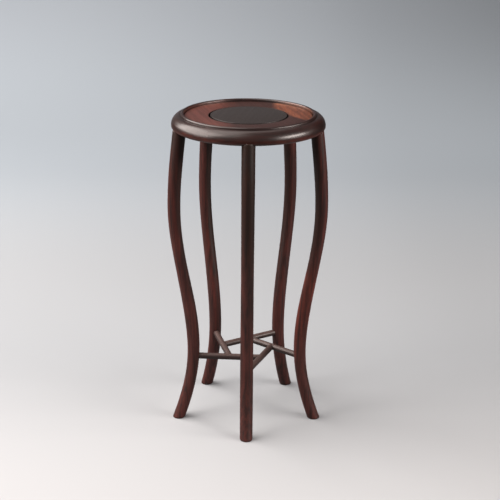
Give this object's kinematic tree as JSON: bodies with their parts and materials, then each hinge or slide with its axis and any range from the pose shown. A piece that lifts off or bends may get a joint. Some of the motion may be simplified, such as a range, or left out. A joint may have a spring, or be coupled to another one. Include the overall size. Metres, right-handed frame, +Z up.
{
  "type": "wooden vase pedestal",
  "caption": "Tall round display pedestal in dark hardwood: framed top with a sunk disc, curved legs joined low down by a pinwheel of round stretchers. Carries a vase or small bowl.",
  "frame": {"origin": "on the floor, in the middle of the footprint's bounding rectangle", "axes": "+Z up; -Y towards the front leg; +X to the right as seen from the front"},
  "size_m": [0.223, 0.2238, 0.45],
  "materials": {
    "rim_wood": "dark reddish-brown hardwood, waxed to a soft sheen",
    "board_wood": "reddish-brown hardwood with a pale orange sapwood streak, waxed",
    "disc_wood": "near-black hardwood, smooth, low sheen",
    "leg_wood": "dark maroon-brown hardwood, waxed to a soft sheen",
    "stretcher_wood": "greyish-brown hardwood, low sheen",
    "batten_wood": "plain planed hardwood, unwaxed",
    "pin_wood": "plain hardwood end grain, trimmed flush"
  },
  "bodies": {
    "root": {"rim_segment_front": "rim_wood", "rim_segment_right_front": "rim_wood", "rim_segment_right_back": "rim_wood", "rim_segment_left_back": "rim_wood", "rim_segment_left_front": "rim_wood", "rim_pin_front_to_right_front": "pin_wood", "rim_pin_right_front_to_right_back": "pin_wood", "rim_pin_right_back_to_left_back": "pin_wood", "rim_pin_left_back_to_left_front": "pin_wood", "rim_pin_left_front_to_front": "pin_wood", "top_board": "board_wood", "centre_disc": "disc_wood", "board_batten": "batten_wood", "leg_front": "leg_wood", "leg_right_front": "leg_wood", "leg_right_back": "leg_wood", "leg_left_back": "leg_wood", "leg_left_front": "leg_wood", "stretcher_front": "stretcher_wood", "stretcher_right_front": "stretcher_wood", "stretcher_right_back": "stretcher_wood", "stretcher_left_back": "stretcher_wood", "stretcher_left_front": "stretcher_wood"}
  },
  "joints": []
}
